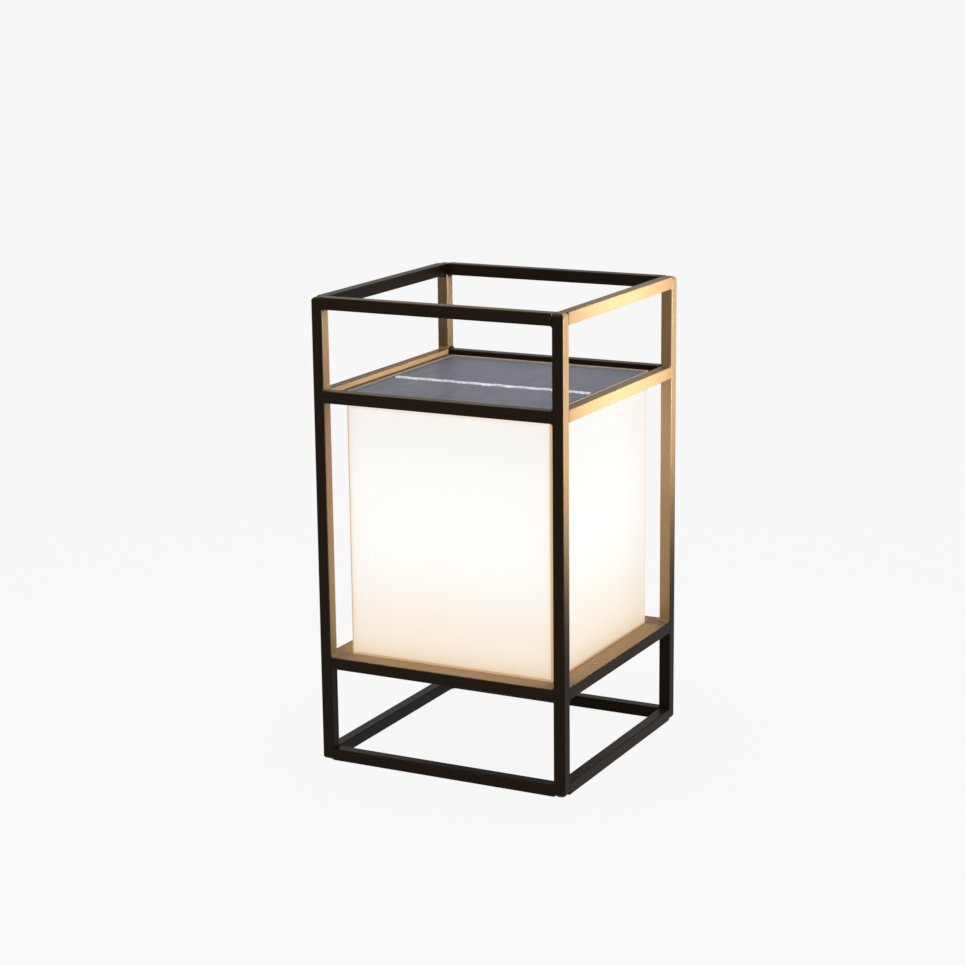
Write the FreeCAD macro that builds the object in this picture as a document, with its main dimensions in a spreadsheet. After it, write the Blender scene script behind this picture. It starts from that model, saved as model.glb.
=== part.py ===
import FreeCAD, Part
import math
import os
import re
import Sketcher

# Solar table lantern: an open square frame of welded steel tube, a sheet tray with an opal
# light box standing on it, and a solar head that drops in on top of the light box and lifts out.
# Millimetres, +Z up, origin on the floor under the middle of the frame, -Y is the front.

Vector = FreeCAD.Vector
Rotation = FreeCAD.Rotation
Z_AXIS = Vector(0, 0, 1)

SIZES = (
    ("frame_width", 200, "outside width and depth of the square frame"),
    ("frame_height", 350, "floor to the top of the frame"),
    ("tube_size", 9, "outside of the square tube"),
    ("tube_wall", 1, "wall of the square tube"),
    ("edge_round", 0.8, "round on the tube's long edges"),
    ("corner_round", 3.5, "ground round at the frame's outer corners"),
    ("end_cap", 4, "welded plug that closes each end of a post"),
    ("weld_round", 2, "weld fillet between post and rail"),
    ("panel_ring_top", 281.8, "floor to the top of the ring round the solar head"),
    ("tray_ring_top", 81.2, "floor to the top of the ring round the tray"),
    ("foot_thick", 1, "rubber foot under a post"),
    ("foot_width", 5, "diameter of a foot"),
    ("foot_stem", 3, "length of the stem that plugs a foot into the post"),
    ("vent_width", 3, "diameter of the vent hole under a post"),
    ("foot_fit", 0.05, "clearance round the stem of a foot"),
    ("lug_thick", 2, "sheet of the corner lug that the head rests on"),
    ("lug_clear", 1, "corner lug short of the light box's corner, on its leg"),
    ("tray_thick", 1.2, "sheet of the tray"),
    ("tray_sink", 0.5, "tray below the top of its ring"),
    ("finger_gap", 8, "clear gap between the rails and the light box"),
    ("box_wall", 3, "wall of the light box"),
    ("box_round", 2, "round on the light box's upright edges"),
    ("box_gap", 0.3, "gap between the light box and the head"),
    ("box_boss", 8, "diameter of a screw boss in the light box"),
    ("box_boss_rise", 7, "height of a screw boss above the light box's floor"),
    ("box_boss_inset", 1, "gap between a screw boss and the light box's walls"),
    ("screw_shank", 2.8, "diameter of a screw"),
    ("screw_fit", 0.1, "clearance between screw and hole, on the radius"),
    ("screw_head", 5.6, "diameter of a screw's head"),
    ("screw_head_thick", 1.6, "height of a screw's head"),
    ("screw_length", 9, "length of a screw under its head"),
    ("screw_end", 1, "free depth of a hole past the screw"),
    ("head_play", 0.3, "gap between the head and the ring on each side"),
    ("cover_thick", 3.5, "height of the head's cover"),
    ("cover_round", 3, "round on the cover's corners"),
    ("cover_edge", 0.6, "round on the cover's top edge"),
    ("pocket_depth", 2, "depth of the cover's pocket for the solar panel"),
    ("lead_hole", 5, "hole in the cover for the panel's leads"),
    ("cover_strip", 6, "strip of the cover that shows beside the sealant"),
    ("panel_round", 2, "round on the solar panel's corners"),
    ("seal_width", 1.2, "sealant line round the panel"),
    ("seal_sink", 0.3, "sealant below the panel's face"),
    ("backing_thick", 1.2, "board that backs the solar cells"),
    ("cell_thick", 0.3, "solar cells and the ribbon between them"),
    ("window_thick", 1.5, "clear cover over the solar cells"),
    ("cell_margin", 3, "bare margin round the solar cells"),
    ("row_gap", 2.6, "gap between the two rows of solar cells"),
    ("ribbon_width", 1.6, "width of the ribbon between the rows"),
    ("ribbon_offset", 12, "ribbon in front of the panel's middle"),
    ("plate_play", 3, "gap between the reflector plate and the light box's walls"),
    ("plate_thick", 2.4, "thickness of the reflector plate"),
    ("well_length", 100, "battery well, left to right"),
    ("well_breadth", 80, "battery well, front to back"),
    ("well_depth", 23.2, "battery well below the cover"),
    ("well_wall", 2.4, "wall of the battery well"),
    ("well_round", 3, "round on the well's corners"),
    ("well_boss", 7, "diameter of a screw boss in the well"),
    ("well_boss_bite", 0.5, "how far a screw boss runs into the well's walls"),
    ("board_thick", 1.6, "circuit boards"),
    ("board_ledge", 1.2, "ledge that carries the control board"),
    ("board_play", 0.2, "gap round the control board"),
    ("gasket_thick", 0.8, "gasket under the battery well"),
    ("door_thick", 2, "door of the battery well"),
    ("battery_width", 18.4, "diameter of a battery cell"),
    ("battery_length", 65, "length of a battery cell"),
    ("battery_space", 18.8, "spacing of the two battery cells"),
    ("battery_rise", 0.8, "battery cells above the door"),
    ("battery_fit", 0.1, "clearance of a battery cell in its cradle and under its pad"),
    ("cradle_rise", 6, "height of the cradle ribs"),
    ("cradle_thick", 2, "thickness of a cradle rib"),
    ("cradle_space", 44, "spacing of the cradle ribs"),
    ("strip_thick", 0.3, "nickel strip across the battery ends"),
    ("strip_width", 7, "width of a nickel strip"),
    ("pad_length", 60, "foam pad on the battery cells"),
    ("pad_breadth", 30, "breadth of the foam pad"),
    ("led_clear", 1, "gap between the light board and the well"),
    ("led_band", 16, "breadth of the light board's frame"),
    ("led_long", 3.5, "length of a light chip"),
    ("led_short", 2.8, "breadth of a light chip"),
    ("led_thick", 0.8, "height of a light chip"),
    ("led_space", 22, "spacing of the light chips"),
    ("switch_length", 18, "switch housing, left to right"),
    ("switch_clear", 0.6, "gap between the switch housing and its neighbours"),
    ("switch_drop", 7, "switch housing below the cover"),
    ("switch_wall", 1, "wall and floor of the switch housing"),
    ("switch_body_drop", 3.8, "height of the switch"),
    ("switch_bore_depth", 1.8, "bore in the switch for the plunger"),
    ("button_width", 3.6, "diameter of the button"),
    ("button_proud", 1.3, "button below its housing at rest"),
    ("button_rim", 0.45, "rim that keeps the button in, on the radius"),
    ("button_rim_thick", 0.8, "thickness of the rim"),
    ("plunger_width", 2, "diameter of the plunger on the button"),
    ("plunger_length", 1.6, "length of the plunger"),
    ("button_fit", 0.08, "clearance round the button and the plunger"),
)

PLACES = (
    ("opening", "frame_width - 2 * tube_size", "clear width between opposite rails"),
    ("tube_line", "(frame_width - tube_size) / 2", "middle of a tube from the lamp's axis"),
    ("bore_width", "tube_size - 2 * tube_wall", "inside of the square tube"),
    ("post_length", "frame_height - foot_thick", "post above its foot"),
    ("base_rail_level", "foot_thick + tube_size / 2", "middle of the lowest ring"),
    ("tray_rail_level", "tray_ring_top - tube_size / 2", "middle of the tray's ring"),
    ("panel_rail_level", "panel_ring_top - tube_size / 2", "middle of the head's ring"),
    ("top_rail_level", "frame_height - tube_size / 2", "middle of the top ring"),
    ("tray_face", "tray_ring_top - tray_sink", "upper face of the tray"),
    ("tray_under", "tray_face - tray_thick", "lower face of the tray"),
    ("lug_under", "panel_ring_top - tube_size", "lower face of a corner lug"),
    ("head_base", "lug_under + lug_thick", "face that the head rests on"),
    ("lug_leg", "2 * finger_gap - lug_clear", "leg of a corner lug"),
    ("box_width", "opening - 2 * finger_gap", "outside width of the light box"),
    ("box_height", "head_base - box_gap - tray_face", "height of the light box"),
    ("box_inside", "box_width - 2 * box_wall", "inside width of the light box"),
    ("box_screw", "(box_inside - box_boss) / 2 - box_boss_inset", "light box screw from the lamp's axis"),
    ("screw_hole", "screw_shank + 2 * screw_fit", "hole for a screw"),
    ("screw_depth", "screw_length + screw_end", "depth of a screw's hole from its head"),
    ("cover_width", "opening - 2 * head_play", "width of the head's cover"),
    ("pocket_width", "cover_width - 2 * cover_strip", "pocket for panel and sealant"),
    ("panel_width", "pocket_width - 2 * seal_width", "outside width of the solar panel"),
    ("pocket_floor", "head_base + cover_thick - pocket_depth", "face that the panel lies on"),
    ("cell_level", "pocket_floor + backing_thick", "underside of the solar cells"),
    ("window_level", "cell_level + cell_thick", "underside of the clear cover"),
    ("panel_thick", "backing_thick + cell_thick + window_thick", "whole solar panel"),
    ("cell_length", "panel_width - 2 * cell_margin", "solar cells, left to right"),
    ("front_row", "(cell_length - row_gap) / 2 - ribbon_offset", "front row, front to back"),
    ("back_row", "(cell_length - row_gap) / 2 + ribbon_offset", "back row, front to back"),
    ("plate_width", "box_inside - 2 * plate_play", "reflector plate"),
    ("cavity_length", "well_length - 2 * well_wall", "inside of the well, left to right"),
    ("cavity_breadth", "well_breadth - 2 * well_wall", "inside of the well, front to back"),
    ("board_length", "cavity_length + 2 * (board_ledge - board_play)", "control board"),
    ("board_breadth", "cavity_breadth + 2 * (board_ledge - board_play)", "control board"),
    ("board_under", "head_base - board_thick", "underside of the control board"),
    ("well_under", "head_base - well_depth", "lower rim of the battery well"),
    ("door_face", "well_under - gasket_thick", "upper face of the battery door"),
    ("door_under", "door_face - door_thick", "lower face of the battery door"),
    ("well_screw_x", "(cavity_length - well_boss) / 2 + well_boss_bite", "door screw, left to right"),
    ("well_screw_y", "(cavity_breadth - well_boss) / 2 + well_boss_bite", "door screw, front to back"),
    ("battery_line", "door_face + battery_rise + battery_width / 2", "middle of the batteries"),
    ("battery_top", "battery_line + battery_width / 2", "top of the battery cells"),
    ("pad_under", "battery_top + battery_fit", "underside of the foam pad"),
    ("led_opening_x", "well_length + 2 * led_clear", "light board's opening, left to right"),
    ("led_opening_y", "well_breadth + 2 * led_clear", "light board's opening, front to back"),
    ("led_line_x", "(led_opening_x + led_band) / 2", "side chips from the lamp's axis"),
    ("led_line_y", "(led_opening_y + led_band) / 2", "front and back chips from the axis"),
    ("plate_under", "head_base - plate_thick", "underside of the reflector plate"),
    ("led_board_under", "plate_under - board_thick", "underside of the light board"),
    ("switch_line", "(opening - finger_gap) / 2", "middle of the switch from the lamp's axis"),
    ("switch_breadth", "finger_gap - 2 * switch_clear", "switch housing, front to back"),
    ("switch_under", "head_base - switch_drop", "lower face of the switch housing"),
    ("switch_floor", "switch_under + switch_wall", "floor inside the switch housing"),
    ("switch_cavity_x", "switch_length - 2 * switch_wall", "inside of the switch housing"),
    ("switch_cavity_y", "switch_breadth - 2 * switch_wall", "inside of the switch housing"),
    ("switch_body_under", "head_base - switch_body_drop", "lower face of the switch"),
)

DRIVING = {name for name, _, _ in SIZES}
DERIVED = {name for name, _, _ in PLACES}
CORNERS = (("front_left", -1, -1, 0), ("front_right", 1, -1, 90),
           ("back_right", 1, 1, 180), ("back_left", -1, 1, 270))
SIDES = (("front", 0, -1, 0), ("right", 1, 0, 90), ("back", 0, 1, 180), ("left", -1, 0, 270))

doc = FreeCAD.newDocument("SolarLantern")
parts = []


def bound(text, inside=""):
    """The expression with each named size pointed at the sheet that holds it."""
    def point(match):
        word = match.group(0)
        sheet = "Sizes" if word in DRIVING else "Places" if word in DERIVED else ""
        return f"{sheet}.{word}" if sheet and sheet != inside else word
    return re.sub(r"[a-z][a-z_]*", point, text)


def fill_sheet(name, rows):
    sheet = doc.addObject("Spreadsheet::Sheet", name)
    for line, (alias, entry, meaning) in enumerate(rows, start=1):
        sheet.set(f"A{line}", alias)
        sheet.set(f"B{line}", "=" + bound(entry, name) if isinstance(entry, str) else str(entry))
        sheet.set(f"C{line}", meaning)
        sheet.setAlias(f"B{line}", alias)
    return sheet


fill_sheet("Sizes", SIZES)
places = fill_sheet("Places", PLACES)
doc.recompute()


def value(text):
    return float(places.evalExpression(bound(text)))


# Sketches

def start_body(label, x="0", y="0", z="0", turn=0):
    """An empty body that stands at x, y, z, turned about the upright axis."""
    body = doc.addObject("PartDesign::Body", label)
    body.Label = label
    body.AllowCompound = True
    body.Placement = FreeCAD.Placement(Vector(), Rotation(Z_AXIS, turn))
    for axis, place in zip("xyz", (x, y, z)):
        body.setExpression(f"Placement.Base.{axis}", bound(place))
    parts.append(body)
    return body


def origin_plane(body, role):
    for feature in body.Origin.OriginFeatures:
        if feature.Role == role:
            return feature


def start_sketch(body, x="0", y="0", lift="0", plane="XY_Plane", turn=0):
    """A sketch whose own origin stands at x, y on the plane, lifted along its normal."""
    sketch = body.newObject("Sketcher::SketchObject", "Outline")
    sketch.AttachmentSupport = [(origin_plane(body, plane), "")]
    sketch.MapMode = "FlatFace"
    sketch.AttachmentOffset = FreeCAD.Placement(Vector(), Rotation(Z_AXIS, turn))
    for axis, place in zip("xyz", (x, y, lift)):
        sketch.setExpression(f"AttachmentOffset.Base.{axis}", bound(place))
    return sketch


def dimension(sketch, name, text, kind, *ends):
    """A dimension of the sketch that follows the named sizes."""
    index = sketch.addConstraint(Sketcher.Constraint(kind, *ends, value(text)))
    sketch.renameConstraint(index, name)
    sketch.setExpression(f"Constraints.{name}", bound(text))


def draw_lines(sketch, points):
    """A closed run of straight lines through the points; gives the first line's number."""
    first = sketch.GeometryCount
    count = len(points)
    for i, (x, y) in enumerate(points):
        end = points[(i + 1) % count]
        sketch.addGeometry(Part.LineSegment(Vector(x, y, 0), Vector(*end, 0)), False)
    for i in range(count):
        after = first + (i + 1) % count
        sketch.addConstraint(Sketcher.Constraint("Coincident", first + i, 2, after, 1))
    return first


def draw_rectangle(sketch, wide, deep, tag=""):
    """A rectangle centred on the sketch's origin."""
    x, y = value(wide) / 2, value(deep) / 2
    first = draw_lines(sketch, ((-x, -y), (x, -y), (x, y), (-x, y)))
    for side, rule in enumerate(("Horizontal", "Vertical", "Horizontal", "Vertical")):
        sketch.addConstraint(Sketcher.Constraint(rule, first + side))
    sketch.addConstraint(Sketcher.Constraint("Symmetric", first, 1, first + 2, 1, -1, 1))
    dimension(sketch, "wide" + tag, wide, "DistanceX", first, 1, first, 2)
    dimension(sketch, "deep" + tag, deep, "DistanceY", first + 1, 1, first + 1, 2)


def draw_rounded(sketch, wide, deep, radius, tag=""):
    """A rectangle with round corners, centred on the sketch's origin."""
    r = value(radius)
    x, y = value(wide) / 2 - r, value(deep) / 2 - r
    first = sketch.GeometryCount
    middles = ((x, -y), (x, y), (-x, y), (-x, -y))
    for i, (cx, cy) in enumerate(middles):
        outward = Rotation(Z_AXIS, 90 * i).multVec(Vector(0, -r, 0))
        start = Vector(*middles[i - 1], 0) + outward
        sketch.addGeometry(Part.LineSegment(start, Vector(cx, cy, 0) + outward), False)
        circle = Part.Circle(Vector(cx, cy, 0), Z_AXIS, r)
        arc = Part.ArcOfCircle(circle, math.pi / 2 * (i - 1), math.pi / 2 * i)
        sketch.addGeometry(arc, False)
    for i in range(4):
        line, arc = first + 2 * i, first + 2 * i + 1
        following = first + (2 * i + 2) % 8
        sketch.addConstraint(Sketcher.Constraint("Tangent", line, 2, arc, 1))
        sketch.addConstraint(Sketcher.Constraint("Tangent", arc, 2, following, 1))
        rule = "Vertical" if i % 2 else "Horizontal"
        sketch.addConstraint(Sketcher.Constraint(rule, line))
        if i:
            sketch.addConstraint(Sketcher.Constraint("Equal", first + 1, arc))
    sketch.addConstraint(Sketcher.Constraint("Symmetric", first + 1, 3, first + 5, 3, -1, 1))
    dimension(sketch, "wide" + tag, wide, "DistanceX", first + 6, 1, first + 2, 1)
    dimension(sketch, "deep" + tag, deep, "DistanceY", first, 1, first + 4, 1)
    dimension(sketch, "round" + tag, radius, "Radius", first + 1)


def draw_circle(sketch, diameter):
    """A circle on the sketch's origin."""
    circle = Part.Circle(Vector(), Z_AXIS, value(diameter) / 2)
    index = sketch.addGeometry(circle, False)
    sketch.addConstraint(Sketcher.Constraint("Coincident", index, 3, -1, 1))
    dimension(sketch, "across", diameter, "Diameter", index)


def draw_four_circles(sketch, diameter, x, y):
    """Four equal circles, one in each quarter of the sketch."""
    first = sketch.GeometryCount
    for sign_x, sign_y in ((1, 1), (-1, 1), (-1, -1), (1, -1)):
        middle = Vector(sign_x * value(x), sign_y * value(y), 0)
        sketch.addGeometry(Part.Circle(middle, Z_AXIS, value(diameter) / 2), False)
    for i, mirror in enumerate(((-2,), (-1, 1), (-1,)), start=1):
        sketch.addConstraint(Sketcher.Constraint("Equal", first, first + i))
        sketch.addConstraint(Sketcher.Constraint("Symmetric", first, 3, first + i, 3, *mirror))
    dimension(sketch, "across", diameter, "Diameter", first)
    dimension(sketch, "x_place", x, "DistanceX", -1, 1, first, 3)
    dimension(sketch, "y_place", y, "DistanceY", -1, 1, first, 3)


def draw_two_circles(sketch, diameter, space):
    """Two equal circles side by side about the sketch's origin."""
    half = value(space) / 2
    for x in (half, -half):
        sketch.addGeometry(Part.Circle(Vector(x, 0, 0), Z_AXIS, value(diameter) / 2), False)
    sketch.addConstraint(Sketcher.Constraint("Equal", 0, 1))
    sketch.addConstraint(Sketcher.Constraint("Symmetric", 0, 3, 1, 3, -1, 1))
    sketch.addConstraint(Sketcher.Constraint("PointOnObject", 0, 3, -1))
    dimension(sketch, "across", diameter, "Diameter", 0)
    dimension(sketch, "space", space, "DistanceX", 1, 3, 0, 3)


def draw_spandrel(sketch, radius):
    """The corner left between two lines at right angles and the arc that rounds them."""
    r = value(radius)
    first = draw_lines(sketch, ((0, r), (0, 0), (r, 0)))
    sketch.delGeometry(first + 2)
    circle = Part.Circle(Vector(r, r, 0), Z_AXIS, r)
    arc = sketch.addGeometry(Part.ArcOfCircle(circle, math.pi, math.pi * 1.5), False)
    for rule in (("Coincident", arc, 1, first, 1), ("Coincident", arc, 2, first + 1, 2),
                 ("Coincident", first, 2, -1, 1), ("Vertical", first), ("Horizontal", first + 1)):
        sketch.addConstraint(Sketcher.Constraint(*rule))
    dimension(sketch, "up", radius, "DistanceY", first, 2, first, 1)
    dimension(sketch, "along", radius, "DistanceX", first + 1, 1, first + 1, 2)
    dimension(sketch, "round", radius, "Radius", arc)


def draw_triangle(sketch, leg):
    """A right-angled triangle with its square corner on the sketch's origin."""
    side = value(leg)
    draw_lines(sketch, ((0, 0), (side, 0), (0, side)))
    for rule in (("Coincident", 0, 1, -1, 1), ("Horizontal", 0), ("Vertical", 2)):
        sketch.addConstraint(Sketcher.Constraint(*rule))
    dimension(sketch, "along", leg, "DistanceX", 0, 1, 0, 2)
    dimension(sketch, "up", leg, "DistanceY", 2, 2, 2, 1)


# Features

def pad(body, sketch, length, both_ways=False, down=False):
    feature = body.newObject("PartDesign::Pad", "Pad")
    feature.Profile = sketch
    feature.setExpression("Length", bound(length))
    feature.Midplane = both_ways
    feature.Reversed = down
    return feature


def pocket(body, sketch, length, both_ways=False, down=False):
    """A cut from the sketch's plane, upwards unless told otherwise, that has to take metal."""
    doc.recompute()
    before = body.Shape.Volume
    feature = body.newObject("PartDesign::Pocket", "Pocket")
    feature.Profile = sketch
    feature.setExpression("Length", bound(length))
    feature.Midplane = both_ways
    feature.Reversed = not down
    doc.recompute()
    if body.Shape.Volume >= before:
        raise RuntimeError(f"a pocket of {body.Label} cuts nothing")
    return feature


def mirror(body, feature, role):
    mirrored = body.newObject("PartDesign::Mirrored", "Mirrored")
    mirrored.Originals = [feature]
    mirrored.MirrorPlane = (origin_plane(body, role), [""])
    body.Tip = mirrored


def round_edges(body, radius, wanted):
    """A fillet on every edge that the test picks out."""
    doc.recompute()
    tip = body.Tip
    names = [f"Edge{i}" for i, edge in enumerate(tip.Shape.Edges, start=1) if wanted(edge)]
    fillet = body.newObject("PartDesign::Fillet", "Fillet")
    fillet.Base = (tip, names)
    fillet.setExpression("Radius", bound(radius))


def slab(label, wide, deep, thick, radius=None, y="0", z="0"):
    """A flat piece with its underside at z."""
    body = start_body(label, y=y, z=z)
    sketch = start_sketch(body)
    if radius:
        draw_rounded(sketch, wide, deep, radius)
    else:
        draw_rectangle(sketch, wide, deep)
    pad(body, sketch, thick)
    return body


def pad_circles(body, diameter, x, y, lift, length):
    sketch = start_sketch(body, lift=lift)
    draw_four_circles(sketch, diameter, x, y)
    pad(body, sketch, length)


def pocket_circles(body, diameter, x, y, lift, length):
    sketch = start_sketch(body, lift=lift)
    draw_four_circles(sketch, diameter, x, y)
    pocket(body, sketch, length)


def at(sign, place):
    return f"{sign} * ({place})"


# Welded frame

def make_post(corner, sign_x, sign_y, turn):
    """Square tube, capped and ground round at its ends, with a vent hole underneath."""
    x, y = at(sign_x, "tube_line"), at(sign_y, "tube_line")
    body = start_body(f"post_{corner}", x, y, "foot_thick", turn)
    outside = start_sketch(body)
    draw_rounded(outside, "tube_size", "tube_size", "edge_round")
    pad(body, outside, "post_length")
    bore = start_sketch(body, lift="end_cap")
    draw_rectangle(bore, "bore_width", "bore_width")
    pocket(body, bore, "post_length - 2 * end_cap")
    vent = start_sketch(body, "corner_round / 2", "corner_round / 2")
    draw_circle(vent, "vent_width")
    pocket(body, vent, "end_cap")
    for plane in ("XZ_Plane", "YZ_Plane"):
        for level, quarter in (("0", 0), ("post_length", 270)):
            corner_cut = start_sketch(body, "-tube_size / 2", level, plane=plane, turn=quarter)
            draw_spandrel(corner_cut, "corner_round")
            pocket(body, corner_cut, "2 * tube_size", both_ways=True)


def make_foot(corner, sign_x, sign_y, turn):
    """Push-in rubber foot under a post."""
    x, y = at(sign_x, "tube_line"), at(sign_y, "tube_line")
    body = start_body(f"foot_{corner}", x, y, turn=turn)
    head = start_sketch(body, "corner_round / 2", "corner_round / 2")
    draw_circle(head, "foot_width")
    pad(body, head, "foot_thick")
    stem = start_sketch(body, "corner_round / 2", "corner_round / 2", "foot_thick")
    draw_circle(stem, "vent_width - 2 * foot_fit")
    pad(body, stem, "foot_stem")


def make_rail(ring, side, sign_x, sign_y, turn, level, weld_sides):
    """Square tube between two posts, with a weld fillet at each end on the sides named."""
    x, y = at(sign_x, "tube_line"), at(sign_y, "tube_line")
    body = start_body(f"{ring}_rail_{side}", x, y, level, turn)
    section = start_sketch(body, plane="YZ_Plane")
    draw_rounded(section, "tube_size", "tube_size", "edge_round")
    draw_rectangle(section, "bore_width", "bore_width", "_bore")
    pad(body, section, "opening", both_ways=True)
    for sign, quarter in weld_sides:
        weld = start_sketch(body, "opening / 2", at(sign, "tube_size / 2"), plane="XZ_Plane",
                            turn=quarter)
        draw_spandrel(weld, "weld_round")
        bead = pad(body, weld, "tube_size - 2 * edge_round", both_ways=True)
        mirror(body, bead, "YZ_Plane")


def make_lug(corner, sign_x, sign_y, turn):
    """Three-cornered sheet lug welded into a corner of the head's ring."""
    x, y = at(sign_x, "opening / 2"), at(sign_y, "opening / 2")
    body = start_body(f"seat_lug_{corner}", x, y, "lug_under", turn)
    sketch = start_sketch(body)
    draw_triangle(sketch, "lug_leg")
    pad(body, sketch, "lug_thick")


UPPER_WELD, LOWER_WELD = (1, 90), (-1, 180)
RINGS = (("base", "base_rail_level", (UPPER_WELD,)),
         ("tray", "tray_rail_level", (UPPER_WELD, LOWER_WELD)),
         ("panel", "panel_rail_level", (UPPER_WELD, LOWER_WELD)),
         ("top", "top_rail_level", (LOWER_WELD,)))


def make_frame():
    for corner in CORNERS:
        make_post(*corner)
        make_foot(*corner)
        make_lug(*corner)
    for ring, level, weld_sides in RINGS:
        for side in SIDES:
            make_rail(ring, *side, level, weld_sides)
    tray = slab("tray_plate", "opening", "opening", "tray_thick", z="tray_under")
    pocket_circles(tray, "screw_hole", "box_screw", "box_screw", "0", "tray_thick")


# Light box

def make_light_box():
    """Opal box, open at the top, with four screw bosses on its floor."""
    body = slab("light_box", "box_width", "box_width", "box_height", "box_round", z="tray_face")
    inside = start_sketch(body, lift="box_wall")
    draw_rectangle(inside, "box_inside", "box_inside")
    pocket(body, inside, "box_height")
    pad_circles(body, "box_boss", "box_screw", "box_screw", "box_wall", "box_boss_rise")
    pocket_circles(body, "screw_hole", "box_screw", "box_screw", "0", "screw_depth - tray_thick")


def make_screws(label, x, y, face):
    """Four pan-head screws driven upwards against the face at that height."""
    body = start_body(label, z=face)
    heads = start_sketch(body)
    draw_four_circles(heads, "screw_head", x, y)
    pad(body, heads, "screw_head_thick", down=True)
    pad_circles(body, "screw_shank", x, y, "0", "screw_length")


# Solar panel

def make_solar_panel():
    width = "panel_width"
    slab("panel_backing", width, width, "backing_thick", "panel_round", z="pocket_floor")
    for label, breadth, y in (
            ("cell_row_front", "front_row", "-ribbon_offset - (row_gap + front_row) / 2"),
            ("cell_row_back", "back_row", "(row_gap + back_row) / 2 - ribbon_offset"),
            ("cell_ribbon", "ribbon_width", "-ribbon_offset")):
        slab(label, "cell_length", breadth, "cell_thick", y=y, z="cell_level")
    slab("panel_window", width, width, "window_thick", "panel_round", z="window_level")
    body = start_body("panel_seal", z="pocket_floor")
    ring = start_sketch(body)
    draw_rounded(ring, "pocket_width", "pocket_width", "panel_round + seal_width")
    draw_rounded(ring, width, width, "panel_round", "_inner")
    pad(body, ring, "panel_thick - seal_sink")


# Solar head

def make_cover():
    """Shallow moulded cover that rests on the lugs, with a pocket for the solar panel."""
    body = slab("head_cover", "cover_width", "cover_width", "cover_thick", "cover_round",
                z="head_base")
    round_edges(body, "cover_edge", lambda edge: edge.BoundBox.ZMin > value("cover_thick") / 2)
    recess = start_sketch(body, lift="cover_thick - pocket_depth")
    draw_rounded(recess, "pocket_width", "pocket_width", "panel_round + seal_width")
    pocket(body, recess, "cover_thick")
    leads = start_sketch(body, y="well_breadth / 4")
    draw_circle(leads, "lead_hole")
    pocket(body, leads, "cover_thick")


def make_lamp_housing():
    """Reflector plate with the battery well under its middle, open at both ends."""
    body = start_body("lamp_housing", z="head_base")
    plate = start_sketch(body)
    draw_rounded(plate, "plate_width", "plate_width", "well_round")
    pad(body, plate, "plate_thick", down=True)
    well = start_sketch(body)
    draw_rounded(well, "well_length", "well_breadth", "well_round")
    pad(body, well, "well_depth", down=True)
    cavity = start_sketch(body, lift="-well_depth")
    draw_rectangle(cavity, "cavity_length", "cavity_breadth")
    pocket(body, cavity, "well_depth")
    pad_circles(body, "well_boss", "well_screw_x", "well_screw_y", "-well_depth",
                "well_depth - board_thick")
    ledge = start_sketch(body)
    draw_rectangle(ledge, "cavity_length + 2 * board_ledge", "cavity_breadth + 2 * board_ledge")
    pocket(body, ledge, "board_thick", down=True)
    pocket_circles(body, "screw_hole", "well_screw_x", "well_screw_y", "-well_depth",
                   "screw_depth - gasket_thick - door_thick")


def make_battery_door():
    """Door of the well with two cradle ribs for the battery cells, and the gasket on it."""
    body = slab("battery_door", "well_length", "well_breadth", "door_thick", "well_round",
                z="door_under")
    for sign in (-1, 1):
        rib = start_sketch(body, at(sign, "cradle_space / 2"), lift="door_thick")
        draw_rectangle(rib, "cradle_thick", "2 * battery_space")
        pad(body, rib, "cradle_rise")
    seats = start_sketch(body, y="battery_line - door_under", plane="YZ_Plane")
    draw_two_circles(seats, "battery_width + 2 * battery_fit", "battery_space")
    pocket(body, seats, "well_length", both_ways=True)
    pocket_circles(body, "screw_hole", "well_screw_x", "well_screw_y", "0", "door_thick")
    gasket = start_body("door_gasket", z="door_face")
    ring = start_sketch(gasket)
    draw_rounded(ring, "well_length", "well_breadth", "well_round")
    draw_rectangle(ring, "cavity_length", "cavity_breadth", "_inner")
    pad(gasket, ring, "gasket_thick")


def make_batteries():
    for row, sign in (("front", -1), ("back", 1)):
        body = start_body(f"battery_cell_{row}", y=at(sign, "battery_space / 2"), z="battery_line")
        can = start_sketch(body, plane="YZ_Plane")
        draw_circle(can, "battery_width")
        pad(body, can, "battery_length", both_ways=True)
    body = start_body("nickel_strips", z="battery_line")
    for sign in (-1, 1):
        strip = start_sketch(body, plane="YZ_Plane",
                             lift=at(sign, "(battery_length + strip_thick) / 2"))
        draw_rectangle(strip, "battery_space + strip_width", "strip_width")
        pad(body, strip, "strip_thick", both_ways=True)
    slab("battery_pad", "pad_length", "pad_breadth", "board_under - pad_under", z="pad_under")


def make_boards():
    slab("control_board", "board_length", "board_breadth", "board_thick", z="board_under")
    body = start_body("light_board", z="led_board_under")
    ring = start_sketch(body)
    draw_rectangle(ring, "led_opening_x + 2 * led_band", "led_opening_y + 2 * led_band")
    draw_rectangle(ring, "led_opening_x", "led_opening_y", "_inner")
    pad(body, ring, "board_thick")
    chips = start_body("light_chips", z="led_board_under")
    for sign in (-1, 1):
        for step in (-2, -1, 0, 1, 2):
            chip = start_sketch(chips, at(step, "led_space"), at(sign, "led_line_y"))
            draw_rectangle(chip, "led_long", "led_short")
            pad(chips, chip, "led_thick", down=True)
        for step in (-1, 0, 1):
            chip = start_sketch(chips, at(sign, "led_line_x"), at(step, "led_space"))
            draw_rectangle(chip, "led_short", "led_long")
            pad(chips, chip, "led_thick", down=True)


# Power switch

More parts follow.
